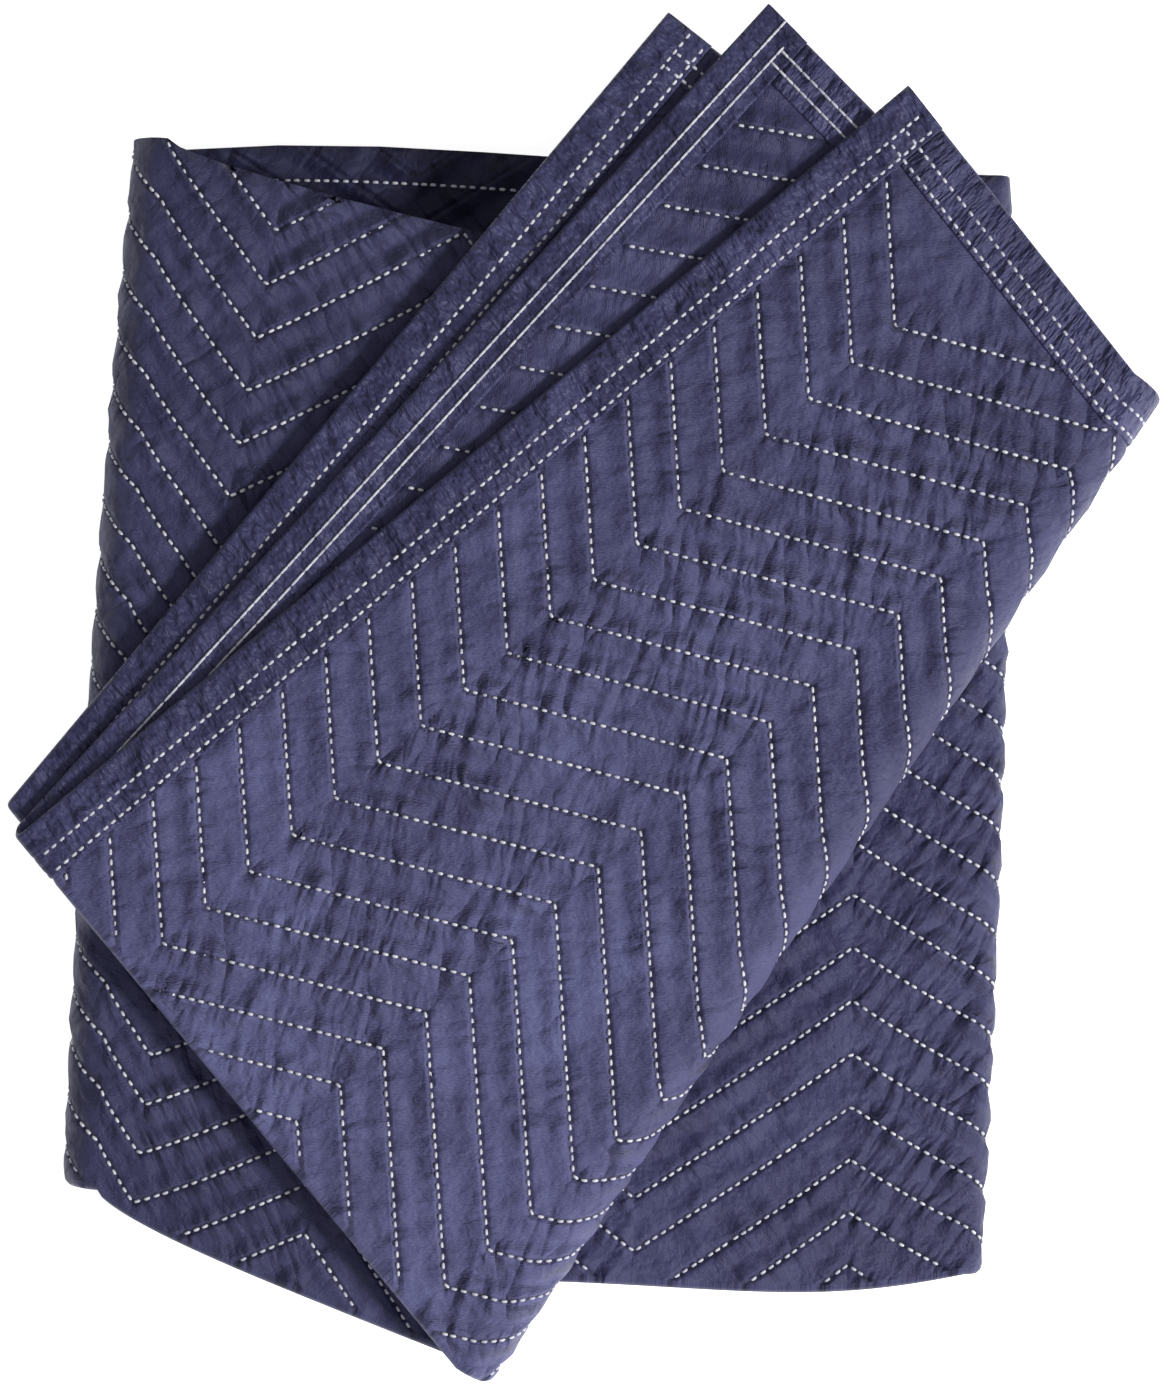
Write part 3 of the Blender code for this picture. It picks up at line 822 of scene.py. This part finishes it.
def stitchShapes(centres, tangents, normals, length, radius):
    # Each stitch is a spindle of four rings, its end rings small and sunk, and no point below the floor
    rings, corners = stitchSet["rings"], stitchSet["corners"]
    side = np.cross(tangents, normals)
    turn = np.linspace(0, 2 * np.pi, corners + 1)[:-1]
    points = []
    for along, wide in rings:
        drop = -stitchSet["sink"] * radius * (abs(along) > 0.4)
        for t in turn:
            out = radius * wide * np.cos(t)
            high = radius * stitchSet["flatness"] * wide * np.sin(t) + drop
            points.append(centres + tangents * along * length + side * out + normals * high)
    points = np.stack(points, axis=1)
    points[..., 2] = np.maximum(points[..., 2], 0.0)
    count = len(rings) * corners
    base = np.arange(len(centres))[:, None, None] * count
    sides = (base + gridFaces(len(rings), corners)[None]).reshape(-1, 4).tolist()
    ends = np.array((np.arange(corners)[::-1], np.arange(count - corners, count)))
    ends = (base + ends[None]).reshape(-1, corners).tolist()
    return points.reshape(-1, 3), sides + ends


def layStitches(path, normals, period, length):
    # Centres, directions and normals at even distances along a path of points, each a little early or late
    gaps = np.linalg.norm(np.diff(path, axis=0), axis=1)
    run = np.concatenate(((0,), np.cumsum(gaps)))
    if run[-1] < period:
        return None
    at = np.arange(period * 0.6, run[-1] - period * 0.4, period)
    at = at + rng.normal(0, stitchSet["jitter"] * period, len(at))
    half = length / 2
    start = np.column_stack([np.interp(at - half, run, path[:, k]) for k in range(3)])
    end = np.column_stack([np.interp(at + half, run, path[:, k]) for k in range(3)])
    tangent = (end - start) / np.linalg.norm(end - start, axis=1)[:, None]
    normal = np.column_stack([np.interp(at, run, normals[:, k]) for k in range(3)])
    normal = normal - tangent * np.sum(normal * tangent, axis=1)[:, None]
    normal = normal / np.linalg.norm(normal, axis=1)[:, None]
    return (start + end) / 2, tangent, normal


def facePath(stage, step, across, sheet, outer, lift, half=None):
    # Points and normals on one face of a sheet, at its quilted height or at a given half thickness
    share = np.full(len(step), float(sheet))
    angle = np.pi * (1 - share)
    if half is None:
        signed = across if sheet else -across
        _, count = quiltCount(stage, step, across, signed)
        raised = quiltedHeight(stage, step, across, signed, count)
        half = halfThick(pressed(stage, step, share, across), raised)
    low = place(stage, step, share, across, angle, sheetOffset + outer * (half + lift))
    high = place(stage, step, share, across, angle, sheetOffset + outer * (half + lift + 0.001))
    normal = high - low
    return low, normal / np.linalg.norm(normal, axis=1)[:, None]


# First number of the sewn lines and one past the last, and where the lines stop: the way across at the
# doubled side, at an open side and at its binding, and metres from a bound end
pathSet = {"flap": (-4, 18), "panels": (-4, 26), "inside": (-28, 4),
           "doubled": 0.001, "open": 0.997, "bound": 1 - 0.031 / stripWidth, "boundEnd": 0.0305}


def quiltPaths(stages, sheet, outer, numbers):
    # One path for each whole line count: the place across is solved at each step
    paths = []
    for number in range(*pathSet[numbers]):
        points, normals, keep = [], [], []
        for stage, low, high, samples in stages:
            step = np.linspace(low, high, samples)
            across = solveAcross(stage, step, np.full(samples, float(number)), 1 if sheet else -1)
            edge = pathSet["bound" if stage in boundSides else "open"]
            inside = (across > pathSet["doubled"]) & (across < edge)
            if stage in boundEnds:
                inside &= fromEnd(stage, step, np.full(samples, float(sheet)), across) > pathSet["boundEnd"]
            p, n = facePath(stage, step, np.clip(across, 0, 1), sheet, outer, stitchSet["lift"])
            points.append(p)
            normals.append(n)
            keep.append(inside)
        points, normals, keep = np.concatenate(points), np.concatenate(normals), np.concatenate(keep)
        edges = np.flatnonzero(np.diff(np.concatenate(((0,), keep.astype(int), (0,)))))
        for first, last in zip(edges[::2], edges[1::2]):
            if last - first > 3:
                paths.append((points[first:last], normals[first:last]))
    return paths


def stitchPiece(name, paths, length=stitchSet["length"], radius=stitchSet["radius"]):
    # All the stitches of these paths as one piece
    laid = [layStitches(points, normals, stitchSet["period"], length) for points, normals in paths]
    laid = [found for found in laid if found is not None]
    centres, tangents, normals = (np.concatenate([part[k] for part in laid]) for k in range(3))
    points, faces = stitchShapes(centres, tangents, normals, length, radius)
    obj = newObject(name, points, faces, thread)
    print(name, len(centres))
    return obj


flapPaths = quiltPaths((("topFlap", 0, 1, 260), ("outerSlant", 0.01, 0.9, 60)), 1, 1, "flap")
rightPaths = quiltPaths((("rightPanel", 0, 1, 220), ("rightFold", 0.03, 0.97, 30)), 1, 1, "panels")
leftPaths = quiltPaths((("leftFold", 0.1, 0.99, 50), ("leftPanel", 0, 1, 320)), 1, 1, "panels")
insidePaths = quiltPaths((("topFlap", 0, 0.55, 160),), 0, -1, "inside")
# A row of stitches that shows in the open pocket
hemSet = {"from": 0.40, "to": 0.97, "across": 0.964, "samples": 160}
hem = np.linspace(hemSet["from"], hemSet["to"], hemSet["samples"])
hemAcross = np.full(hemSet["samples"], hemSet["across"])
leftPaths.append(facePath("bottom", hem, hemAcross, 0, 1, stitchSet["lift"], sheetThick / 2))
stitches = [
    stitchPiece("quilting_flap", flapPaths),
    stitchPiece("quilting_right_panel", rightPaths),
    stitchPiece("quilting_left_panel", leftPaths),
    stitchPiece("quilting_flap_inside", insidePaths),
]

# Rows of stitches on the bindings: the half thickness at the dashed rows' dips, and just above it for the
# solid rows
tapeFace = bindingSet["inside"] + bindingSet["wall"] - bindingSet["puff"] * 0.5
raisedFace = tapeFace + 0.0006


def endRow(stage, metres, sheet, outer, high=1.0, face=tapeFace):
    # Along a bound end, this many metres in from it
    across = np.linspace(0, high, 200)
    step = stepAt(stage, metres, np.full(200, float(sheet)), across)
    return facePath(stage, step, across, sheet, outer, stitchSet["rowLift"], face)


def sideRow(stages, metres, sheet, outer, over, face=tapeFace):
    # Along an open edge, this many metres in from it, starting over metres from a bound end
    parts = []
    for stage, low, high in stages:
        across = np.full(120, 1 - metres / stripWidth)
        share = np.full(120, float(sheet))
        start = over if stage in boundEnds else None
        step = stationStep(stage, start, np.linspace(low, high, 120), share, across)
        parts.append(facePath(stage, step, across, sheet, outer, stitchSet["rowLift"], face))
    return np.concatenate([p[0] for p in parts]), np.concatenate([p[1] for p in parts])


rowOne, rowTwo = bindingSet["rows"]
nearRow, farRow = bindingSet["insideRows"]
flapRun = (("topFlap", 0, 1),)
slantRun = (("topFlap", 0, 1), ("outerSlant", 0.02, 0.95))
backRun = (("underFlap", 0, 0.98),)
dashedRows = [
    endRow("topFlap", rowOne, 1, 1), endRow("topFlap", rowTwo, 1, 1),
    sideRow(slantRun, rowOne, 1, 1, rowOne), sideRow(slantRun, rowTwo, 1, 1, rowOne),
    endRow("underFlap", rowOne, 0, 1), endRow("underFlap", rowTwo, 0, 1),
    sideRow(backRun, rowOne, 0, 1, rowOne), sideRow(backRun, rowTwo, 0, 1, rowOne),
]
solidRows = [
    endRow("topFlap", nearRow, 0, -1, 1.0, raisedFace), endRow("topFlap", farRow, 0, -1, 0.985, raisedFace),
    sideRow(flapRun, nearRow, 0, -1, farRow, raisedFace), sideRow(flapRun, farRow, 0, -1, farRow, raisedFace),
]
stitches.append(stitchPiece("binding_rows", dashedRows))
solidSizes = (stitchSet["insideLength"], stitchSet["insideRadius"])
stitches.append(stitchPiece("binding_rows_inside", solidRows, *solidSizes))

# Floor, lights and camera. viewHigh: the photograph's height in pixels by the metres of one, at the floor
studioSet = {
    "floorHalf": 3, "floorDrop": 0.0005, "floorColour": (0.93, 0.93, 0.93, 1), "floorGlow": 0.85,
    "world": 0.20,
    "key": {"location": (2.05, -0.75, 1.75), "size": 0.6, "power": 72, "colour": (1, 1, 1)},
    "fill": {"location": (-0.8, -1.8, 2.0), "size": 1.6, "power": 9, "colour": (0.95, 0.97, 1)},
    "cameraHigh": 1.5, "sensor": 36, "viewHigh": 1388 * 0.000555,
}


def buildFloor():
    # A plain square just under the blanket
    half = studioSet["floorHalf"]
    mesh = bpy.data.meshes.new("floor")
    corners = [(-half, -half, 0), (half, -half, 0), (half, half, 0), (-half, half, 0)]
    mesh.from_pydata(corners, [], [(0, 1, 2, 3)])
    floor = bpy.data.objects.new("floor", mesh)
    floor.location = (0, 0, -studioSet["floorDrop"])
    bpy.context.scene.collection.objects.link(floor)
    material, _, shader = startMaterial("floor_white", 0.9, 0.0)
    shader.inputs["Base Color"].default_value = studioSet["floorColour"]
    shader.inputs["Emission Color"].default_value = (1, 1, 1, 1)
    shader.inputs["Emission Strength"].default_value = studioSet["floorGlow"]
    mesh.materials.append(material)


def areaLight(name):
    # A round light, turned to the origin
    light = studioSet[name]
    data = bpy.data.lights.new(name, "AREA")
    data.shape = "DISK"
    data.size = light["size"]
    data.energy = light["power"]
    data.color = light["colour"]
    obj = bpy.data.objects.new(name, data)
    obj.location = light["location"]
    obj.rotation_euler = (-Vector(light["location"])).to_track_quat("-Z", "Y").to_euler()
    bpy.context.scene.collection.objects.link(obj)


buildFloor()
areaLight("key")
areaLight("fill")
world = bpy.data.worlds.new("studio")
world.use_nodes = True
world.node_tree.nodes["Background"].inputs["Color"].default_value = (1, 1, 1, 1)
world.node_tree.nodes["Background"].inputs["Strength"].default_value = studioSet["world"]
bpy.context.scene.world = world
bpy.context.scene.view_settings.view_transform = "Standard"

cameraData = bpy.data.cameras.new("camera")
cameraData.sensor_width = studioSet["sensor"]
cameraData.lens = studioSet["sensor"] * studioSet["cameraHigh"] / studioSet["viewHigh"]
cameraData.clip_end = 50
camera = bpy.data.objects.new("camera", cameraData)
camera.location = (-planShift[0], -planShift[1], studioSet["cameraHigh"])
bpy.context.scene.collection.objects.link(camera)
bpy.context.scene.camera = camera
print("studio")
